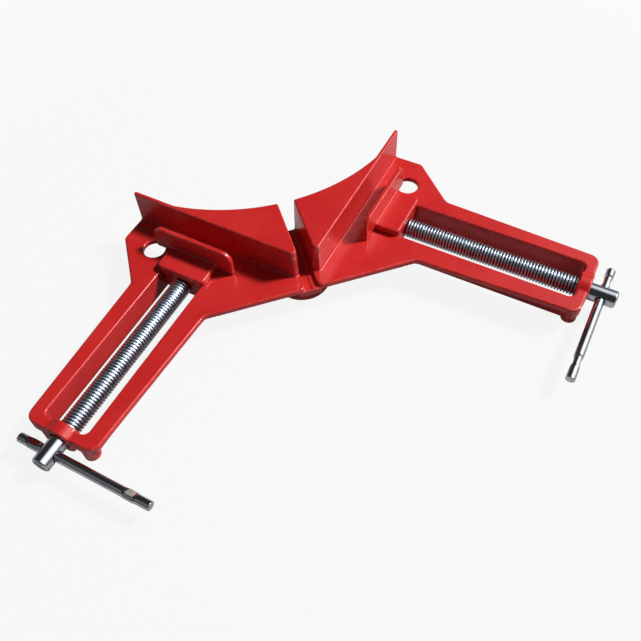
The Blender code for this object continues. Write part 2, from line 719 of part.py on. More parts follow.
def main():
    clear_scene()
    parts = new_collection("corner_clamp")
    helpers = new_collection("cutters_and_guides")
    enamel = material("red_enamel", (0.60, 0.022, 0.020), 0.22, 0.0)
    steel = material("zinc_plated_steel", (0.62, 0.63, 0.65), 0.25, 1.0)
    bright = material("bright_steel_rod", (0.50, 0.50, 0.52), 0.22, 1.0)
    dark = material("spring_steel", (0.12, 0.12, 0.13), 0.4, 1.0)

    make_casting(parts, helpers, enamel)
    jaw = make_jaw(parts, helpers, enamel)
    spindle = make_spindle(parts, helpers, steel)
    washer = make_washer(parts, steel)
    ring = make_ring(parts, dark)
    bar = make_bar(parts, bright)

    right_spot = on_plate(0.0, SPINDLE_ALONG)
    left_spot = Vector((-right_spot.y, -right_spot.x))
    at = spindle_stations()
    upright = (0.0, pi / 2, 0.0)
    bar_shift = BAR_LENGTH / 2 - CRIMP_OUTER - CRIMP_LENGTH - SHANK_RADIUS - CLEAR
    # the left bar is turned a quarter about its own line, as it lies in its hole
    for side, spot, turn, sign, lean in (
        ("right", right_spot, 0.0, 1, pi / 2), ("left", left_spot, -pi / 2, -1, 0.0),
    ):
        line = arm_line(side + "_arm_line", spot, turn, helpers)
        placed = (
            (jaw, "jaw_", (JAW_REST, 0, 0), (0, 0, 0)),
            (spindle, "spindle_", (0, 0, 0), upright),
            (washer, "thrust_washer_", (at["washer"], 0, 0), upright),
            (ring, "retaining_ring_", (at["ring"], 0, 0), upright),
            (bar, "tommy_bar_", (at["bar"], -sign * bar_shift, 0), (-sign * pi / 2, lean, 0)),
        )
        for thing, stem, location, rotation in placed:
            piece = thing if side == "right" else copy_of(thing, stem + side, parts)
            put(piece, line, location, rotation)


main()
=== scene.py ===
"""Corner clamp: enamelled casting and jaws, rolled spindles, crimped tommy bars, white studio.

Shapes are worked out in millimetres and put into the meshes in metres. The clamp stands on its
round foot at the origin. The two arms mirror each other in the upright plane x = -y.
"""
from math import atan2, cos, pi, radians, sin, sqrt, tan

import bpy
import numpy as np
from mathutils import Matrix, Vector


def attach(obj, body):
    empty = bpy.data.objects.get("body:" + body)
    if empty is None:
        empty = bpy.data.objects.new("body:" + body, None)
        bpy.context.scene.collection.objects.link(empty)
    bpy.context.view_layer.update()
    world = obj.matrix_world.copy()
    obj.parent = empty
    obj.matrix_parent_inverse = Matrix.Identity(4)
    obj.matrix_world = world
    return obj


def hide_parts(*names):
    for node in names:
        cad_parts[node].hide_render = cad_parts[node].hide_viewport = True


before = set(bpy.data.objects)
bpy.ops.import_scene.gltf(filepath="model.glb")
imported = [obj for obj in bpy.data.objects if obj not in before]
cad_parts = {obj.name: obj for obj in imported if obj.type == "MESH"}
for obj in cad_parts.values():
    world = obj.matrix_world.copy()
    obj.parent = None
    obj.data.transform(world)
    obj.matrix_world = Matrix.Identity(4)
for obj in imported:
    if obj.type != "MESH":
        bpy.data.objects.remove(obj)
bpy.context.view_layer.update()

MM = 0.001
ROOT2 = sqrt(2.0)

# Heights above the floor
TOP = 13.2                  # plate's top
UNDER = 10.7                # plate's underside
WALL_FOOT = 2.0             # foot of the walls round a slot
RIB_FOOT = WALL_FOOT + 1.2  # foot of the rib in the web
KEEL_FOOT = UNDER - 4.0     # foot of the bar under the channel
END_FOOT = 7.7              # foot of the thick arm end
CHANNEL_FLOOR = TOP - 1.65
FENCE_TOP = 27.6
AXIS = 8.8                  # spindles' line

# Frame, measured on the right half out of the fence's face and along it from the apex
APEX = 14.14 / ROOT2        # apex to the middle of the round foot, along x and along y
APEX_RADIUS = 11.8          # round foot
FENCE_LENGTH = 82.5
NOSE = 7.3                  # apex to the start of the fence
NOSE_SLANT = 0.25
NOSE_ROUND = 1.2
TIP_THICK = 1.65            # thin outer end of a fence
TIP_START = 63.3
TIP_ROUND = 0.7
BACK_RADIUS = 81.0
BLOCK_SKIN = 2.8            # wall left round the hollow under a fence block
BACK = 33.2                 # apex to the back edge on the middle line
FRONT = 1.87                # apex to the front edge on the middle line
PLATE_PAST = 20.0           # how far the plate's and a block's outlines run past the middle line
BLOCK_PAST = 24.0
GAP_TOP = 3.36              # half the gap between the blocks, at the top and at the plate
GAP_LOW = 2.6
MOUTH_ROUND = 2.8           # channel's mouth
KEEL_HALF = 4.6             # half the width of the bar under the channel
KEEL_INSET = 1.4            # plate's edges to that bar's ends
ARM = 98.0
LINE = 48.3                 # apex to the spindle's line
SLOT_NEAR = LINE - 9.5
SLOT_FAR = LINE + 9.5
SLOT_START = 9.6
SLOT_END = ARM - 4.2
SLOT_ROUND = 2.6
WALL = 2.1
INNER_ROOT = 9.2            # widths of the rails beside the slot, at the root and at the arm's end
INNER_END = 6.5
OUTER_ROOT = 7.6
OUTER_END = 5.4
ROOT_OUT = 31.0             # fence's face to the rails' root
ROOT_ROUND = 4.0
WEB_ROUND = 3.0
ARM_ROUND = 4.2
SHOULDER_OUT = 12.5
SHOULDER = 82.1             # apex to the shoulder's edge
SHOULDER_ROUND = 2.2
HOLE_OUT = 12.05            # screw hole in the shoulder
HOLE = 67.2
HOLE_RADIUS = 4.6
FOOT_RADIUS = 3.1           # small feet under the arm's end
FOOT_INSET = 3.4
FOOT_SPREAD = 9.0
BOSS_RADIUS = 6.5           # tapped boss in the arm's end
BOSS_PROUD = 0.3
BORE = 4.15

# Rounded edges and fillets of the castings
POST_FILLET = 1.0
SOFT_EDGE = 0.8             # plate's top and the larger fillets
RIM_EDGE = 0.7              # slot's rim and the blocks at the gap
CAST_EDGE = 0.6
CRISP_EDGE = 0.5            # undersides
BORE_EDGE = 0.35
OVERLAP = 0.5               # how far a joined shape reaches into its neighbour

# Jaws, out of their faces, across from the spindle's line and up from it
JAW_REST = 8.2              # fence to jaw when the screw is right in
JAW_PLATE = 2.0
JAW_HALF = 18.4
JAW_FOOT = 4.7
JAW_TOP = 15.95
JAW_SQUARE = 11.0           # up to here the plate's corners are nearly sharp
JAW_ROUND = 4.4
JAW_LENGTH = 12.7
SLAB_HALF = 11.0
SLAB_TOP = 7.7
SLAB_ROUND = 2.2
TONGUE_NEAR = 5.5
TONGUE_FAR = 12.1
TONGUE_HALF = 9.2
TONGUE_BORE = 2.9

# Spindles, along their line from the fence's face
CREST = 4.0                 # M8 thread
ROOT = 3.27
PITCH = 1.25
THREAD_START = 20.75
THREAD_END = 97.35
NOSE_END = 10.4
GROOVE_START = 11.2         # groove for the retaining ring
GROOVE_END = 12.6
GROOVE = 1.9
NECK = 2.5
NECK_END = 20.7
HEAD = 3.55
HEAD_START = 97.2
HEAD_END = 109.1
HEAD_CHAMFER = 0.6
CROSS_HOLE = 2.05

# Tommy bars
BAR = 1.8
BAR_LENGTH = 57.0
BAR_OUT = 103.4             # fence's face to the bar's line
BAR_SIDES = 40
CRIMP_INNER = 5.3           # bar's end at the clamp's middle to its crimp
CRIMP_OUTER = 3.6           # the same at its other end
CRIMP_LENGTH = 6.4
CRIMP_RISE = 1.8            # length over which a crimp comes to its full press
CRIMP_WIDE = 0.20           # shares of the bar's radius that a crimp adds across and takes off
CRIMP_FLAT = 0.30
CRIMP_CROWN = 0.12          # what is left of the round over a flat
BAR_SHIFT = BAR_LENGTH / 2 - CRIMP_OUTER - CRIMP_LENGTH - HEAD - 0.3

# Reach of the samples round a point of a skin, and limits
SLOPE_REACH = 0.02
BEND_REACH = 0.18
LARGEST_MOVE = 0.3
LARGEST_BEND = 3

# Studio, in metres and watts
KEY_WAY = tuple(Vector((0.72, 0.60, 1.0)).normalized())
KEY_LAMP = (3.0, 0.5, 108.0)    # distance, size, power
FILL_WAY = (-0.5, -0.9, 0.9)
FILL_LAMP = (1.1, 0.8, 0.3)
WORLD_LIGHT = 0.07
KEY_GLOW = 1.9              # strengths that gloss sees: round the key, at the horizon and overhead
HORIZON_GLOW = 0.3
ZENITH_GLOW = 0.04
FLOOR_HALF = 6.0
FLOOR_DROP = 0.0002
CAMERA_PLACE = (0.10303, -0.16432, 0.2398)
CAMERA_AXIS = (-0.2943, 0.5023, -0.8131)
CAMERA_DOWN = (0.3602, -0.7297, -0.5812)
CAMERA_LENS = 41.06
CAMERA_SHIFT = 0.00265


def inter(a, b, radius):
    """Solid inside both fields, its edge rounded: the distance from the point where both are one
    radius inside, less the radius."""
    corner = np.hypot(np.maximum(a + radius, 0), np.maximum(b + radius, 0))
    return np.minimum(np.maximum(a, b), -radius) + corner


def union(a, b, radius):
    """Solid inside either field, with a fillet of the radius where they meet."""
    corner = np.hypot(np.maximum(radius - a, 0), np.maximum(radius - b, 0))
    return np.maximum(np.minimum(a, b), radius) - corner


def cut(a, b, radius):
    """Solid inside the first field and outside the second, its edge rounded."""
    return inter(a, -b, radius)


def rounded(corners):
    """Outline points from corners (x, y, radius), with arcs in steps of 5 degrees that touch both
    sides of a corner."""
    points = []
    for i, (x, y, radius) in enumerate(corners):
        here = Vector((x, y))
        if radius <= 0:
            points.append(tuple(here))
            continue
        before = (Vector(corners[i - 1][:2]) - here).normalized()
        after = (Vector(corners[(i + 1) % len(corners)][:2]) - here).normalized()
        half = before.angle(after) / 2
        centre = here + (before + after).normalized() * (radius / sin(half))
        start = here + before * (radius / tan(half)) - centre
        sweep = (pi - 2 * half) * (-1 if before.cross(after) > 0 else 1)
        steps = max(2, round(abs(sweep) / radians(5)))
        for k in range(steps + 1):
            points.append(tuple(centre + Matrix.Rotation(sweep * k / steps, 2) @ start))
    return points


def outline(points):
    """Field of a flat outline: the distance to its nearest side, below 0 where a line drawn to the
    right crosses the sides an odd number of times."""
    sides = list(zip(points, points[1:] + points[:1]))

    def field(x, y):
        nearest = np.full(np.broadcast(x, y).shape, 1e9)
        inside = np.zeros(nearest.shape, bool)
        for (ax, ay), (bx, by) in sides:
            ex, ey = bx - ax, by - ay
            share = np.clip(((x - ax) * ex + (y - ay) * ey) / (ex * ex + ey * ey), 0, 1)
            nearest = np.minimum(nearest, (x - ax - ex * share) ** 2 + (y - ay - ey * share) ** 2)
            if ay != by:
                inside ^= ((y >= ay) != (y >= by)) & (x < ax + ex * (y - ay) / ey)
        return np.where(inside, -1, 1) * np.sqrt(nearest)
    return field


def pad(x, y, low, high, radius):
    """Field of a flat rectangle between two corners, with rounded corners."""
    dx = np.abs(x - (low[0] + high[0]) / 2) - (high[0] - low[0]) / 2 + radius
    dy = np.abs(y - (low[1] + high[1]) / 2) - (high[1] - low[1]) / 2 + radius
    beyond = np.hypot(np.maximum(dx, 0), np.maximum(dy, 0))
    return np.minimum(np.maximum(dx, dy), 0) + beyond - radius


def slopes(field, points, reach):
    """Mean and slope of a field round each point, from its values at the corners of a small
    four-cornered solid."""
    ways = np.array([(1, 1, 1), (1, -1, -1), (-1, 1, -1), (-1, -1, 1)], float)
    values = np.stack([field(*(points + way * reach).T) for way in ways])
    return values.mean(0), values.T @ ways / (4 * reach)


def skin(field, grid):
    """Closed surface where a field is 0, from its values on a grid: points, faces, normals, edges.

    Each grid box that the surface passes through gets one point, the mean of the surface's
    crossings with the box's sides, which is then moved down the field's slope until it lies on the
    surface. Each grid side with a crossing gets a face that joins the four boxes round it. The edge
    value of a point is the field's bend there, above 0 on a sharp edge and below 0 in a fillet."""
    xs, ys, zs = grid
    value = field(xs[:, None, None], ys[None, :, None], zs[None, None, :])
    inside = value < 0
    filled = np.zeros([n - 1 for n in value.shape], np.int8)
    halves = ((slice(0, -1), slice(1, None)),) * 3
    for i in halves[0]:
        for j in halves[1]:
            for k in halves[2]:
                filled += inside[i, j, k]
    boxes = np.argwhere((filled > 0) & (filled < 8))
    number = np.full(filled.shape, -1, np.int32)
    number[tuple(boxes.T)] = np.arange(len(boxes))
    total = np.zeros((len(boxes), 3))
    count = np.zeros(len(boxes))
    for axis in range(3):
        for corner in ((0, 0), (0, 1), (1, 0), (1, 1)):
            near = boxes.copy()
            near[:, (axis + 1) % 3] += corner[0]
            near[:, (axis + 2) % 3] += corner[1]
            far = near.copy()
            far[:, axis] += 1
            here = value[tuple(near.T)]
            there = value[tuple(far.T)]
            crossed = (here < 0) != (there < 0)
            share = np.where(crossed, here / np.where(crossed, here - there, 1), 0)
            start = np.stack([xs[near[:, 0]], ys[near[:, 1]], zs[near[:, 2]]], 1)
            end = np.stack([xs[far[:, 0]], ys[far[:, 1]], zs[far[:, 2]]], 1)
            total += (start + (end - start) * share[:, None]) * crossed[:, None]
            count += crossed
    points = total / count[:, None]

    faces = []
    for axis in range(3):
        e, f = (axis + 1) % 3, (axis + 2) % 3
        low = [slice(1, -1)] * 3
        high = [slice(1, -1)] * 3
        low[axis] = slice(0, -1)
        high[axis] = slice(1, None)
        spots = np.argwhere(inside[tuple(low)] != inside[tuple(high)])
        leaving = inside[tuple(low)][tuple(spots.T)]
        spots[:, e] += 1
        spots[:, f] += 1
        ring = []
        for back in ((1, 1), (0, 1), (0, 0), (1, 0)):
            box = spots.copy()
            box[:, e] -= back[0]
            box[:, f] -= back[1]
            ring.append(number[tuple(box.T)])
        face = np.stack(ring, 1)
        face[~leaving] = face[~leaving, ::-1]
        faces.append(face)

    for _ in range(2):
        mean, slope = slopes(field, points, SLOPE_REACH)
        size = np.maximum((slope ** 2).sum(1), 0.25)
        points = points - slope * np.clip(mean / size, -LARGEST_MOVE, LARGEST_MOVE)[:, None]
    bend = slopes(field, points, BEND_REACH)[0] * 2 / BEND_REACH ** 2
    normals = slope / np.linalg.norm(slope, axis=1)[:, None]
    return points, np.concatenate(faces), normals, np.clip(bend, -LARGEST_BEND, LARGEST_BEND)


def piece(name, body, nodes, look, points, faces, edge, normals=None):
    """Mesh object from points in millimetres and one or more arrays of faces, on a body, standing for
    CAD nodes. Its edge value is for the material."""
    corners = np.concatenate([part.ravel() for part in faces]).astype(np.int32)
    counts = np.concatenate([np.full(len(part), part.shape[1]) for part in faces])
    mesh = bpy.data.meshes.new(name)
    mesh.vertices.add(len(points))
    mesh.vertices.foreach_set("co", (points * MM).astype(np.float32).ravel())
    mesh.loops.add(len(corners))
    mesh.loops.foreach_set("vertex_index", corners)
    mesh.polygons.add(len(counts))
    mesh.polygons.foreach_set("loop_start", (np.cumsum(counts) - counts).astype(np.int32))
    mesh.update(calc_edges=True)
    mesh.shade_smooth()
    mesh.attributes.new("edge", "FLOAT", "POINT").data.foreach_set("value", edge.astype(np.float32))
    if normals is not None:
        mesh.normals_split_custom_set_from_vertices(normals)
    mesh.materials.append(look)
    thing = bpy.data.objects.new(name, mesh)
    bpy.context.scene.collection.objects.link(thing)
    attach(thing, body)
    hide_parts(*nodes)


def steps(*stops):
    """Grid lines from stops (place, spacing up to the next place)."""
    lines = []
    for (start, gap), (end, _) in zip(stops, stops[1:]):
        count = max(1, round((end - start) / gap))
        lines.append(np.linspace(start, end, count, endpoint=False))
    return np.concatenate(lines + [[stops[-1][0]]])


# Outlines of the right half of the frame
def on_middle(side, back):
    """Sharp corner from its distances to the right of the middle line and behind the apex."""
    return ((side - back) / ROOT2, (side + back) / ROOT2, 0.0)


def block_back():
    """Hollow back of a fence block: an arc from its thin end to its corner at the gap."""
    start = Vector((-TIP_THICK, TIP_START))
    end = Vector(on_middle(GAP_TOP, BACK)[:2])
    way = end - start
    rise = sqrt(BACK_RADIUS ** 2 - (way.length / 2) ** 2)
    centre = (start + end) / 2 + Vector((way.y, -way.x)).normalized() * rise
    first = atan2(*(start - centre).yx)
    sweep = (atan2(*(end - centre).yx) - first + pi) % (2 * pi) - pi
    turns = [first + sweep * k / 24 for k in range(25)]
    return [(centre.x + BACK_RADIUS * cos(t), centre.y + BACK_RADIUS * sin(t), 0.0) for t in turns]


def plate_points():
    """Plate with its web, arm and shoulder. The web's corner is where the inner rail's straight edge
    meets the front edge, which runs across the middle line."""
    near_root = SLOT_NEAR - INNER_ROOT
    near_end = SLOT_NEAR - INNER_END
    slope = (near_end - near_root) / (ARM - ROOT_OUT)
    front = FRONT * ROOT2
    web = (near_root - slope * ROOT_OUT + front) / (1 - slope)
    return rounded([
        on_middle(-PLATE_PAST, -FRONT),
        (web, web - front, WEB_ROUND),
        (ARM, near_end, ARM_ROUND),
        (ARM, SLOT_FAR + OUTER_END, ARM_ROUND),
        (ROOT_OUT, SLOT_FAR + OUTER_ROOT, ROOT_ROUND),
        (SHOULDER_OUT, SHOULDER, SHOULDER_ROUND),
        (-TIP_THICK / 2, SHOULDER, 0.0),
        *[(x + TIP_THICK / 2, y - TIP_THICK / 2, 0.0) for x, y, _ in block_back()],
        on_middle(-PLATE_PAST, BACK - TIP_THICK),
    ])


def block_points():
    """Fence block: its straight face, thin end, hollow back and slanting nose."""
    slant = Vector((-1.0, -NOSE_SLANT)).normalized()
    reach = (NOSE + BLOCK_PAST) / -(slant.x + slant.y)
    return rounded([
        (0.0, NOSE, NOSE_ROUND),
        (0.0, FENCE_LENGTH, TIP_ROUND),
        (-TIP_THICK, FENCE_LENGTH, TIP_ROUND),
        *block_back(),
        on_middle(-BLOCK_PAST, BACK),
        (slant.x * reach, NOSE + slant.y * reach, 0.0),
    ])


def hollow_points():
    """Hollow under a fence block, one skin inside its face, gap wall and back."""
    face = -BLOCK_SKIN
    wall_line = (GAP_TOP + BLOCK_SKIN) * ROOT2
    back = [(x + BLOCK_SKIN / ROOT2, y - BLOCK_SKIN / ROOT2) for x, y, _ in block_back()]
    kept = [p for p in back if p[0] < face - BLOCK_SKIN / 2 and p[0] + p[1] > wall_line]
    last = kept[-1]
    arc = [(x, y, 0.0) for x, y in kept]
    return rounded([
        (face, wall_line + BLOCK_SKIN, SOFT_EDGE),
        (face, kept[0][1], SOFT_EDGE),
        *arc,
        (last[0], wall_line - last[0], SOFT_EDGE),
    ])


def channel_points():
    """Channel in the plate, its mouth rounded out to the front edge in steps of 6 degrees."""
    flare = [
        (GAP_LOW + MOUTH_ROUND * (1 - sin(radians(k * 6))),
         -FRONT + MOUTH_ROUND * (1 - cos(radians(k * 6))))
        for k in range(16)
    ]
    right = [(GAP_LOW + MOUTH_ROUND, -FRONT - 9.0), *flare, (GAP_LOW, BACK + 12.0)]
    return right + [(-x, y) for x, y in reversed(right)]


plate_edge = outline(plate_points())
block_edge = outline(block_points())
hollow_edge = outline(hollow_points())
channel_edge = outline(channel_points())
web_rib_way = Vector((SLOT_START + SLOT_ROUND + APEX, SLOT_NEAR - WALL / 2 - APEX))


def casting(x, y, z):
    """Field of the frame: plate, thick arm ends, fence blocks, hollows, slot walls, keel, feet, rib
    and bosses joined with fillets, less the slots, bores, holes, channel and gap. Points left of the
    middle plane are first mirrored to the right half."""
    left = x + y < 0
    out = np.where(left, -y, x) - APEX
    along = np.where(left, -x, y) + APEX
    side = (out + along) / ROOT2
    back = (along - out) / ROOT2

    flat = plate_edge(out, along)
    plate = inter(inter(flat, z - TOP, SOFT_EDGE), UNDER - z, CRISP_EDGE)
    end = np.maximum(flat, SLOT_END + 0.7 * WALL - out)
    end = inter(inter(end, z - TOP, SOFT_EDGE), END_FOOT - z, CRISP_EDGE)
    plate = np.minimum(plate, end)

    gap = GAP_LOW + (GAP_TOP - GAP_LOW) * (z - TOP) / (FENCE_TOP - TOP) - side
    fence = inter(inter(block_edge(out, along), gap, RIM_EDGE), z - FENCE_TOP, CAST_EDGE)
    body = union(plate, np.maximum(fence, UNDER - OVERLAP - z), SOFT_EDGE)
    hollow = inter(hollow_edge(out, along), z - FENCE_TOP + BLOCK_SKIN, SOFT_EDGE)
    body = cut(body, hollow, CRISP_EDGE)

    walls = pad(out, along, (SLOT_START - WALL, SLOT_NEAR - WALL), (SLOT_END + WALL, SLOT_FAR + WALL),
                SLOT_ROUND + WALL)
    walls = np.maximum(inter(walls, WALL_FOOT - z, CRISP_EDGE), z - UNDER - OVERLAP)
    body = union(body, walls, SOFT_EDGE)
    keel = pad(side, back, (-KEEL_HALF, KEEL_INSET - FRONT), (KEEL_HALF, BACK - KEEL_INSET), SOFT_EDGE)
    keel = np.maximum(inter(keel, KEEL_FOOT - z, CAST_EDGE), z - UNDER - OVERLAP)
    body = union(body, keel, CAST_EDGE)
    post = np.hypot(out + APEX, along - APEX) - APEX_RADIUS
    post = np.maximum(inter(post, -z, SOFT_EDGE), z - UNDER - OVERLAP * 2)
    body = union(body, post, POST_FILLET)

    reach = web_rib_way.length
    run = ((out + APEX) * web_rib_way.x + (along - APEX) * web_rib_way.y) / reach
    offset = ((along - APEX) * web_rib_way.x - (out + APEX) * web_rib_way.y) / reach
    rib = np.maximum(np.abs(offset) - WALL / 2, np.maximum(-run, run - reach))
    rib = np.maximum(inter(rib, RIB_FOOT - z, CRISP_EDGE), z - UNDER - OVERLAP / 2)
    body = union(body, rib, CAST_EDGE)
    foot = np.hypot(out - ARM + FOOT_INSET, np.abs(along - LINE) - FOOT_SPREAD) - FOOT_RADIUS
    foot = np.maximum(inter(foot, -z, CRISP_EDGE), z - UNDER - OVERLAP)
    body = union(body, foot, CAST_EDGE)

    slot = pad(out, along, (SLOT_START, SLOT_NEAR), (SLOT_END, SLOT_FAR), SLOT_ROUND)
    body = cut(body, slot, RIM_EDGE)
    round_line = np.hypot(along - LINE, z - AXIS)
    boss = inter(round_line - BOSS_RADIUS, out - ARM - BOSS_PROUD, CRISP_EDGE)
    body = union(body, np.maximum(boss, SLOT_END - OVERLAP - out), CAST_EDGE)
    body = cut(body, np.maximum(round_line - BORE, SLOT_END - 6 - out), BORE_EDGE)
    hole = np.hypot(out - HOLE_OUT, along - HOLE) - HOLE_RADIUS
    body = cut(body, hole, CAST_EDGE)
    channel = inter(channel_edge(side, back), CHANNEL_FLOOR - z, CAST_EDGE)
    return cut(body, channel, CAST_EDGE)


def make_casting(look):
    """Frame as two skins that meet at the middle plane, on one grid that the plane cuts evenly. The
    grid is fine where edges and fillets lie, and wide along straight walls."""
    fine = 0.42
    xs = steps((-97.0, 0.5), (-92.0, 1.5), (-86.0, 0.6), (-58.0, fine), (38.0, 1.3), (100.0, fine),
               (109.5, 1))
    zs = steps((-0.4, 0.35), (0.6, 0.9), (6.3, 0.4), (14.6, 0.9), (15.6, 1.0), (26.4, 0.33), (28.1, 1))
    points, faces, normals, edge = skin(casting, (xs, -xs[::-1], zs))
    middle = points[faces].mean(1)
    for side, sign in (("right", 1), ("left", -1)):
        kept = faces[(middle[:, 0] + middle[:, 1]) * sign > 0]
        used, part = np.unique(kept, return_inverse=True)
        piece("frame_" + side, "casting", ["frame"], look,
              points[used], [part.reshape(kept.shape)], edge[used], normals[used])


def placed(side, local):
    """Points (out, across, up) from an arm's line at the fence's face, turned to the right or left."""
    out, across, up = local.T
    if side == "right":
        return np.stack([APEX + out, LINE - APEX + across, AXIS + up], 1)
    return np.stack([APEX - LINE + across, -APEX - out, AXIS + up], 1)


def turned_way(side, local):
    """Directions (out, across, up) of an arm, turned to the right or left."""
    out, across, up = local.T
    return local if side == "right" else np.stack([across, -out, up], 1)


def jaw(out, across, up):
    """Field of a jaw: an upright plate and a slab joined with a fillet, with a tongue that is bored
    for the spindle's neck."""
    u = out - JAW_REST
    face = pad(across, up, (-JAW_HALF, JAW_FOOT), (JAW_HALF, JAW_TOP), JAW_ROUND)
    face = np.minimum(face, pad(across, up, (-JAW_HALF, JAW_FOOT), (JAW_HALF, JAW_SQUARE), CAST_EDGE))
    face = inter(inter(face, u - JAW_PLATE, CAST_EDGE), -u, CAST_EDGE)
    slab = pad(u, across, (-8.0, -SLAB_HALF), (JAW_LENGTH, SLAB_HALF), SLAB_ROUND)
    slab = np.maximum(slab, JAW_PLATE / 2 - u)
    slab = inter(inter(slab, up - SLAB_TOP, SOFT_EDGE), JAW_FOOT - up, 0.4)
    body = union(face, slab, 0.9)
    tongue = pad(u, across, (TONGUE_NEAR, -TONGUE_HALF), (TONGUE_FAR, TONGUE_HALF), CAST_EDGE)
    tongue = np.maximum(inter(tongue, -JAW_FOOT - up, CRISP_EDGE), up - JAW_FOOT - OVERLAP)
    body = union(body, tongue, 0.2)
    return cut(body, np.hypot(across, up) - TONGUE_BORE, 0.3)


def make_jaws(look):
    """Both jaws from one skin, which reaches a little past the jaw on every side."""
    grid = (steps((7.8, 0.3), (21.4, 1)), steps((-18.8, 0.33), (18.8, 1)), steps((-5.1, 0.33), (16.3, 1)))
    points, faces, normals, edge = skin(jaw, grid)
    for side in ("right", "left"):
        piece("jaw_casting_" + side, "jaw_body_" + side, ["jaw_" + side], look,
              placed(side, points), [faces], edge, turned_way(side, normals))


def tube(rings):
    """Points and faces of a closed tube from its rings of points, with a fan over each end."""
    rows, count, _ = rings.shape
    index = np.arange(rows * count).reshape(rows, count)
    across = np.roll(index, -1, 1)
    sides = np.stack([index[:-1], across[:-1], across[1:], index[1:]], 2).reshape(-1, 4)
    points = np.concatenate([rings.reshape(-1, 3), rings[:1].mean(1), rings[-1:].mean(1)])
    start = np.stack([np.full(count, rows * count), across[0], index[0]], 1)
    stop = np.stack([np.full(count, rows * count + 1), index[-1], across[-1]], 1)
    return points, [sides, start, stop]


def thread(low, high, sides):
    """Rolled thread along the first axis: the radius is the root's plus the depth times a smooth
    step of the distance from the groove, in parts of a pitch, which goes round once a turn. Both
    ends run down to the root over half a millimetre."""
    rows = np.arange(low, high + 0.01, PITCH / 12)
    rows[-1] = high
    angles = np.linspace(0, 2 * pi, sides, endpoint=False)
    phase = (rows[:, None] / PITCH - angles[None, :] / (2 * pi)) % 1.0
    rise = np.clip((np.abs(phase - 0.5) * 2 - 0.10) / 0.62, 0, 1)
    radius = ROOT + (CREST - ROOT) * (rise * rise * (3 - 2 * rise))
    inset = np.minimum(rows - low, high - rows)[:, None]
    radius = np.minimum(radius, ROOT - 0.1 + np.maximum(inset, 0) * 1.4)
    depth = (CREST - radius) / (CREST - ROOT)
    rings = np.stack([
        np.broadcast_to(rows[:, None], radius.shape),
        radius * np.cos(angles)[None, :],
        radius * np.sin(angles)[None, :],
    ], 2)
    return rings, depth


def profile_rings(profile, count):
    """Rings of a turned shape from its profile (place along the line, radius)."""
    angles = np.linspace(0, 2 * pi, count, endpoint=False)
    place, radius = np.array(profile).T
    return np.stack([
        np.broadcast_to(place[:, None], (len(place), count)),
        radius[:, None] * np.cos(angles),
        radius[:, None] * np.sin(angles),
    ], 2)


def softened(profile, radius):
    """Profile whose corners are replaced by short arcs of five points."""
    points = [Vector(p) for p in profile]
    made = [points[0]]
    for before, here, after in zip(points, points[1:], points[2:]):
        back = min(radius, (before - here).length * 0.45)
        ahead = min(radius, (after - here).length * 0.45)
        start = here + (before - here).normalized() * back
        end = here + (after - here).normalized() * ahead
        for k in range(5):
            t = k / 4
            made.append(start * (1 - t) ** 2 + here * 2 * t * (1 - t) + end * t * t)
    return [tuple(p) for p in made + [points[-1]]]


def head(out, across, up):
    """Field of the spindle's plain head: a round bar with chamfered ends and the bar's cross hole."""
    ring = np.hypot(across, up)
    bar = inter(ring - HEAD, out - HEAD_END, 0.25)
    bar = inter(bar, (ring - HEAD + out - HEAD_END + HEAD_CHAMFER) / ROOT2, 0.15)
    bar = inter(bar, HEAD_START - out, 0.2)
    hole = np.hypot(out - BAR_OUT, up) - CROSS_HOLE
    return cut(bar, hole, 0.25)


def make_spindles(look):
    """Each spindle in three pieces: the turned neck and nose, the thread and the head."""
    nose = softened([
        (NOSE_END, 0.0), (NOSE_END, 2.0), (10.9, NECK), (GROOVE_START, NECK), (GROOVE_START, GROOVE),
        (GROOVE_END, GROOVE), (GROOVE_END, NECK), (NECK_END, NECK), (NECK_END, 3.1), (20.9, 3.1),
    ], 0.15)
    rings, depth = thread(THREAD_START, THREAD_END, 48)
    grid = (steps((96.9, 0.18), (109.4, 1)),) + (steps((-3.9, 0.18), (3.9, 1)),) * 2
    head_points, head_faces, head_normals, _ = skin(head, grid)
    for side in ("right", "left"):
        body = "screw_" + side
        nodes = ["spindle_" + side]
        points, faces = tube(rings)
        piece("thread_" + side, body, nodes, look, placed(side, points), faces,
              np.append(depth, [1.0, 1.0]))
        points, faces = tube(profile_rings(nose[1:], 40))
        piece("neck_" + side, body, nodes, look, placed(side, points), faces,
              np.full(len(points), -1.0))
        piece("head_" + side, body, nodes, look, placed(side, head_points),
              [head_faces], np.full(len(head_points), -1.0), turned_way(side, head_normals))


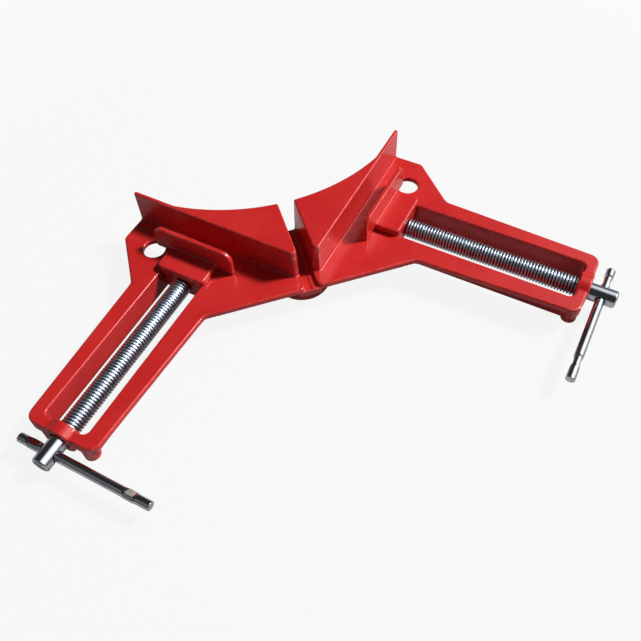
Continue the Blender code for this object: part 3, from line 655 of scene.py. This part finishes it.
def bar_points(roll, bare_and_painted_sheen):
    """Tommy bar along the second axis: a round bar whose width and thickness swell and shrink over
    its two crimps by a smooth step, with rounded ends, turned about its line by the roll. The edge
    value is above 0 on the flats, up to each crimp's share of bare metal and painted reflection."""
    half = BAR_LENGTH / 2
    ends = np.array([0.0, 0.03, 0.1, 0.2, 0.3, 0.4])
    inner = np.array([0.9, 1.2, 1.5, 1.7, 1.78, 1.8])
    body = np.arange(0.7, BAR_LENGTH - 0.6, 0.3)
    place = np.concatenate([ends - half, body - half, half - ends[::-1]])
    radius = np.concatenate([inner, np.full(len(body), BAR), inner[::-1]])
    angles = np.linspace(0, 2 * pi, BAR_SIDES, endpoint=False)
    press = np.zeros(len(place))
    flat_bare_and_painted_sheen = np.zeros(len(place))
    # each crimp's flats get its share of bare metal and painted reflection, which lightens them
    for start, rubbed in zip((CRIMP_INNER - half, half - CRIMP_OUTER - CRIMP_LENGTH), bare_and_painted_sheen):
        inset = np.minimum(place - start, start + CRIMP_LENGTH - place)
        share = np.clip(inset / CRIMP_RISE, 0, 1)
        step = share * share * (3 - 2 * share)
        press = np.maximum(press, step)
        flat_bare_and_painted_sheen = np.maximum(flat_bare_and_painted_sheen, step * rubbed)
    wide = radius[:, None] * np.cos(angles) * (1 + CRIMP_WIDE * press[:, None])
    thin = radius[:, None] * np.sin(angles)
    flat = BAR * (1 - CRIMP_FLAT * press[:, None])
    past = np.abs(thin) - flat
    edge = flat_bare_and_painted_sheen[:, None] * (past > 0)
    thin = np.where(past > 0, np.sign(thin) * (flat + CRIMP_CROWN * past), thin)
    across = wide * cos(roll) - thin * sin(roll)
    up = wide * sin(roll) + thin * cos(roll)
    rings = np.stack([across, np.broadcast_to(place[:, None], across.shape), up], 2)
    return rings[:, ::-1], edge[:, ::-1]


def make_bars(look):
    """Both bars, each pushed through its head until its outer crimp is near it. The left one is
    mirrored, so its faces are turned round."""
    # per crimp, the share of bare metal and painted reflection on its flats
    for side, roll, bare_and_painted_sheen, sign in (("right", pi / 2, (1.0, 1.0), -1), ("left", 0.6, (1.0, 0.75), 1)):
        rings, edge = bar_points(roll, bare_and_painted_sheen)
        points, faces = tube(rings * np.array([1.0, -sign, 1.0]))
        if sign == 1:
            faces = [part[:, ::-1] for part in faces]
        points += np.array([BAR_OUT, sign * BAR_SHIFT, 0.0])
        edge = np.append(edge.ravel(), [0.0, 0.0])
        piece("tommy_rod_" + side, "bar_body_" + side, ["tommy_bar_" + side], look,
              placed(side, points), faces, edge)


class Value:
    """A shader socket or node output that arithmetic can be written with."""

    def __init__(self, look, socket):
        self.look = look
        self.socket = socket

    def _math(self, operation, first, second):
        return self.look.node("ShaderNodeMath", {"operation": operation}, {0: first, 1: second})

    def __add__(self, other):
        return self._math("ADD", self, other)

    def __radd__(self, other):
        return self._math("ADD", other, self)

    def __sub__(self, other):
        return self._math("SUBTRACT", self, other)

    def __rsub__(self, other):
        return self._math("SUBTRACT", other, self)

    def __mul__(self, other):
        return self._math("MULTIPLY", self, other)

    def __rmul__(self, other):
        return self._math("MULTIPLY", other, self)

    def most(self, other):
        return self._math("MAXIMUM", self, other)


class Look:
    """A material with its Principled shader."""

    def __init__(self, name, colour, **constants):
        self.material = bpy.data.materials.new(name)
        self.material.use_nodes = True
        self.tree = self.material.node_tree
        self.shader = self.tree.nodes["Principled BSDF"]
        self.shader.inputs["Base Color"].default_value = (*colour, 1)
        self.material.diffuse_color = (*colour, 1)
        for key, value in constants.items():
            self.shader.inputs[key.replace("_", " ")].default_value = value
        self.place = self.node("ShaderNodeTexCoord", output="Object")

    def node(self, kind, settings=None, inputs=None, output=0):
        """Add a node: its settings first, then the values or links of its sockets."""
        made = self.tree.nodes.new(kind)
        for key, value in (settings or {}).items():
            if key == "stops":
                ramp = made.color_ramp
                while len(ramp.elements) < len(value):
                    ramp.elements.new(1.0)
                for element, (spot, colour) in zip(ramp.elements, value):
                    element.position = spot
                    element.color = colour if len(colour) == 4 else (*colour, 1)
            else:
                setattr(made, key, value)
        for key, value in (inputs or {}).items():
            if isinstance(value, Value):
                self.tree.links.new(value.socket, made.inputs[key])
            else:
                made.inputs[key].default_value = value
        return Value(self, made.outputs[output])

    def feed(self, name, value):
        """Link a value to one of the shader's sockets."""
        self.tree.links.new(value.socket, self.shader.inputs[name])

    def noise(self, scale, detail=2.0, roughness=0.5, stretch=None):
        """Noise with features of about 1 / scale metres, about 0.5 in the mean."""
        place = self.place
        if stretch:
            place = self.node("ShaderNodeMapping", None, {"Vector": place, "Scale": stretch})
        return self.node("ShaderNodeTexNoise", None, {
            "Vector": place, "Scale": scale, "Detail": detail, "Roughness": roughness,
        })

    def ramp(self, value, low, high, start=0.0, end=1.0):
        """Smooth step from start to end while the value goes from low to high."""
        return self.node("ShaderNodeMapRange", {"interpolation_type": "SMOOTHSTEP"}, {
            "Value": value, "From Min": low, "From Max": high, "To Min": start, "To Max": end,
        })

    def mix(self, share, first, second):
        """Colour between two colours or colour sockets."""
        sides = {6: first if isinstance(first, Value) else (*first, 1),
                 7: second if isinstance(second, Value) else (*second, 1)}
        return self.node("ShaderNodeMix", {"data_type": "RGBA"}, {0: share, **sides}, 2)

    def attribute(self, name):
        return self.node("ShaderNodeAttribute", {"attribute_name": name}, None, "Fac")

    def bump(self, height, distance, strength=1.0, below=None):
        inputs = {"Height": height, "Distance": distance, "Strength": strength}
        if below:
            inputs["Normal"] = below
        return self.node("ShaderNodeBump", None, inputs)


def red_enamel():
    """Glossy red powder coat on a die casting: cloudy colour, thin coat on the sharp edges, painted
    shade in the fillets, orange peel and a few fine scratches."""
    look = Look("red_enamel", (0.60, 0.022, 0.020), Roughness=0.3, IOR=1.42, Coat_Weight=0.2,
                Coat_Roughness=0.08)
    edge = look.attribute("edge")
    cloud = look.noise(45.0, 3.0)
    speckle = look.noise(900.0, 2.0)
    colour = look.mix(look.ramp(cloud, 0.35, 0.65), (0.585, 0.019, 0.019), (0.630, 0.026, 0.023))
    colour = look.mix(look.ramp(speckle, 0.45, 0.75, 0.0, 0.06), colour, (0.75, 0.06, 0.05))
    # painted shade: the colour darkens towards a deep red in the fillets, by how far they bend inward
    colour = look.mix(look.ramp(edge, -1.4, -0.4, 0.35, 0.0), colour, (0.36, 0.010, 0.010))
    worn = look.ramp(edge, 0.6, 1.8) * look.ramp(look.noise(260.0, 4.0, 0.65), 0.42, 0.62)
    colour = look.mix(worn * 0.45, colour, (0.80, 0.12, 0.09))
    look.feed("Base Color", colour)
    scratch = look.ramp(look.noise(120.0, 3.0, 0.6, (1.0, 7.0, 1.0)), 0.62, 0.72)
    rough = look.ramp(look.noise(160.0, 4.0), 0.3, 0.7, 0.24, 0.36)
    look.feed("Roughness", rough + scratch * 0.08 + worn * 0.1)
    peel = look.noise(520.0, 2.0)
    height = look.bump(peel, 0.00003, 0.5)
    look.feed("Normal", look.bump(look.noise(140.0, 1.0), 0.00012, 0.35, height))
    return look.material


def plated_steel():
    """Bright zinc plate on a rolled thread: satin bluish crests and painted shade in the roots. The
    plain head and neck are smoother and reflect darker."""
    look = Look("plated_steel", (0.62, 0.64, 0.67), Metallic=1.0, Roughness=0.3)
    depth = look.attribute("edge")
    plain = look.ramp(depth, -1.0, -0.5, 1.0, 0.0)
    cloud = look.noise(220.0, 3.0)
    colour = look.mix(look.ramp(cloud, 0.3, 0.7), (0.60, 0.68, 0.78), (0.72, 0.79, 0.87))
    # painted shade: the thread's roots darken nearly to black with their depth
    colour = look.mix(look.ramp(depth, 0.45, 1.0, 0.0, 0.92), colour, (0.03, 0.03, 0.036))
    colour = look.mix(plain * 0.9, colour, (0.50, 0.53, 0.58))
    look.feed("Base Color", colour)
    grain = look.noise(900.0, 3.0)
    look.feed("Roughness", look.ramp(grain, 0.3, 0.7, 0.26, 0.36) - plain * 0.19)
    look.feed("Normal", look.bump(grain, 0.000006, 0.4))
    return look.material


def bright_rod():
    """Chrome-plated rod: fine marks round it, duller where the crimping tool pressed, and lighter there
    with a painted reflection.
    """
    look = Look("bright_rod", (0.60, 0.61, 0.63), Metallic=1.0, Roughness=0.14)
    press = look.attribute("edge")
    fine = look.noise(1400.0, 3.0)
    marks = look.noise(300.0, 4.0, 0.6)
    colour = look.mix(look.ramp(marks, 0.35, 0.7), (0.48, 0.50, 0.54), (0.58, 0.60, 0.64))
    # painted reflection: the crimped flats lighten towards pale grey, over the real tool mark
    colour = look.mix(look.ramp(press, 0.8, 1.0, 0.0, 0.9), colour, (0.74, 0.72, 0.66))
    look.feed("Base Color", colour)
    look.feed("Roughness", look.ramp(marks, 0.35, 0.7, 0.07, 0.14) + look.ramp(press, 0.8, 1.0) * 0.42)
    look.feed("Normal", look.bump(fine, 0.000003, 0.25))
    return look.material


def washer_steel():
    """Plated washer with faint turning marks and a greasy film."""
    look = Look("washer_steel", (0.58, 0.59, 0.60), Metallic=1.0, Roughness=0.3)
    cloud = look.noise(500.0, 3.0)
    colour = look.mix(look.ramp(cloud, 0.35, 0.65), (0.50, 0.50, 0.49), (0.64, 0.65, 0.67))
    look.feed("Base Color", colour)
    look.feed("Roughness", look.ramp(cloud, 0.3, 0.7, 0.24, 0.4))
    look.feed("Normal", look.bump(look.noise(1600.0, 2.0), 0.00001, 0.4))
    return look.material


def spring_steel():
    """Blackened spring steel with rubbed patches."""
    look = Look("blackened_spring", (0.08, 0.08, 0.085), Metallic=1.0, Roughness=0.4)
    rub = look.ramp(look.noise(700.0, 4.0, 0.6), 0.5, 0.72)
    look.feed("Base Color", look.mix(rub, (0.07, 0.07, 0.075), (0.30, 0.29, 0.28)))
    look.feed("Roughness", 0.46 - rub * 0.16)
    look.feed("Normal", look.bump(look.noise(1800.0, 2.0), 0.00001, 0.4))
    return look.material


def make_floor():
    """Pale floor that keeps the shadows. It glows to near white for the camera, wholly white far
    away, and glows a little in reflections."""
    mesh = bpy.data.meshes.new("studio_floor")
    corners = ((-1, -1), (1, -1), (1, 1), (-1, 1))
    mesh.from_pydata([(x * FLOOR_HALF, y * FLOOR_HALF, -FLOOR_DROP) for x, y in corners], [],
                     [(0, 1, 2, 3)])
    floor = bpy.data.objects.new("studio_floor", mesh)
    bpy.context.scene.collection.objects.link(floor)
    look = Look("pale_floor", (0.45, 0.45, 0.45), Roughness=0.9, Specular_IOR_Level=0.0)
    glow = look.node("ShaderNodeEmission", None, {"Strength": 1.0})
    seen = look.node("ShaderNodeLightPath", output="Is Camera Ray")
    shiny = look.node("ShaderNodeLightPath", output="Is Glossy Ray")
    away = look.node("ShaderNodeVectorMath", {"operation": "LENGTH"}, {0: look.place}, "Value")
    share = seen * look.ramp(away, 0.15, 0.5, 0.89, 1.0) + shiny * 0.12
    lit = Value(look, look.shader.outputs[0])
    blend = look.node("ShaderNodeMixShader", None, {0: share, 1: lit, 2: glow})
    look.tree.links.new(blend.socket, look.tree.nodes["Material Output"].inputs[0])
    mesh.materials.append(look.material)


class Studio:
    """World with a low light of its own, a white background for the camera and clear bodies, and a
    dark studio for gloss with a broad soft glow round the key lamp."""

    def __init__(self):
        self.world = bpy.data.worlds.new("studio")
        bpy.context.scene.world = self.world
        self.world.use_nodes = True
        self.tree = self.world.node_tree
        self.tree.nodes.clear()

    node = Look.node
    ramp = Look.ramp

    def light(self, strength):
        return self.node("ShaderNodeBackground", None, {"Color": (1, 1, 1, 1), "Strength": strength})

    def blend(self, share, first, second):
        return self.node("ShaderNodeMixShader", None, {0: share, 1: first, 2: second})


def make_world():
    studio = Studio()
    way = studio.node("ShaderNodeTexCoord", output="Generated")
    height = studio.node("ShaderNodeSeparateXYZ", None, {0: way}, 2)
    near = studio.node("ShaderNodeVectorMath", {"operation": "DOT_PRODUCT"},
                       {0: way, 1: KEY_WAY}, "Value")
    gloss = studio.ramp(near, 0.70, 0.98, 0.0, KEY_GLOW)
    gloss = gloss + studio.ramp(height, 0.0, 0.3, HORIZON_GLOW, ZENITH_GLOW)
    seen = studio.node("ShaderNodeLightPath", output="Is Camera Ray")
    clear = studio.node("ShaderNodeLightPath", output="Is Transmission Ray")
    shiny = studio.node("ShaderNodeLightPath", output="Is Glossy Ray")
    world = studio.blend(shiny, studio.light(WORLD_LIGHT), studio.light(gloss))
    world = studio.blend(seen.most(clear), world, studio.light(1.0))
    output = studio.tree.nodes.new("ShaderNodeOutputWorld")
    studio.tree.links.new(world.socket, output.inputs[0])


def make_lamp(name, direction, distance, size, power):
    """Square lamp that looks at the clamp from a direction."""
    lamp = bpy.data.lights.new(name, "AREA")
    lamp.size = size
    lamp.energy = power
    thing = bpy.data.objects.new(name, lamp)
    bpy.context.scene.collection.objects.link(thing)
    way = Vector(direction).normalized()
    thing.location = way * distance
    thing.rotation_euler = way.to_track_quat("Z", "Y").to_euler()


def make_camera():
    """Camera at the photograph's place, from its own three directions."""
    axis = Vector(CAMERA_AXIS).normalized()
    down = Vector(CAMERA_DOWN)
    down = (down - axis * down.dot(axis)).normalized()
    right = down.cross(axis)
    camera = bpy.data.cameras.new("camera")
    camera.lens = CAMERA_LENS
    camera.sensor_width = 36.0
    camera.shift_x = CAMERA_SHIFT
    camera.clip_start = 0.01
    thing = bpy.data.objects.new("camera", camera)
    bpy.context.scene.collection.objects.link(thing)
    turn = Matrix((right, -down, -axis)).transposed().to_4x4()
    thing.matrix_world = Matrix.Translation(CAMERA_PLACE) @ turn
    bpy.context.scene.camera = thing


enamel = red_enamel()
plate = plated_steel()
make_casting(enamel)
make_jaws(enamel)
make_spindles(plate)
make_bars(bright_rod())
for stem, look in (("thrust_washer_", washer_steel()), ("retaining_ring_", spring_steel())):
    for side in ("right", "left"):
        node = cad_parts[stem + side]
        node.data.materials.clear()
        node.data.materials.append(look)

make_floor()
make_world()
make_lamp("key", KEY_WAY, *KEY_LAMP)
make_lamp("fill", FILL_WAY, *FILL_LAMP)
make_camera()
bpy.context.scene.view_settings.view_transform = "Standard"
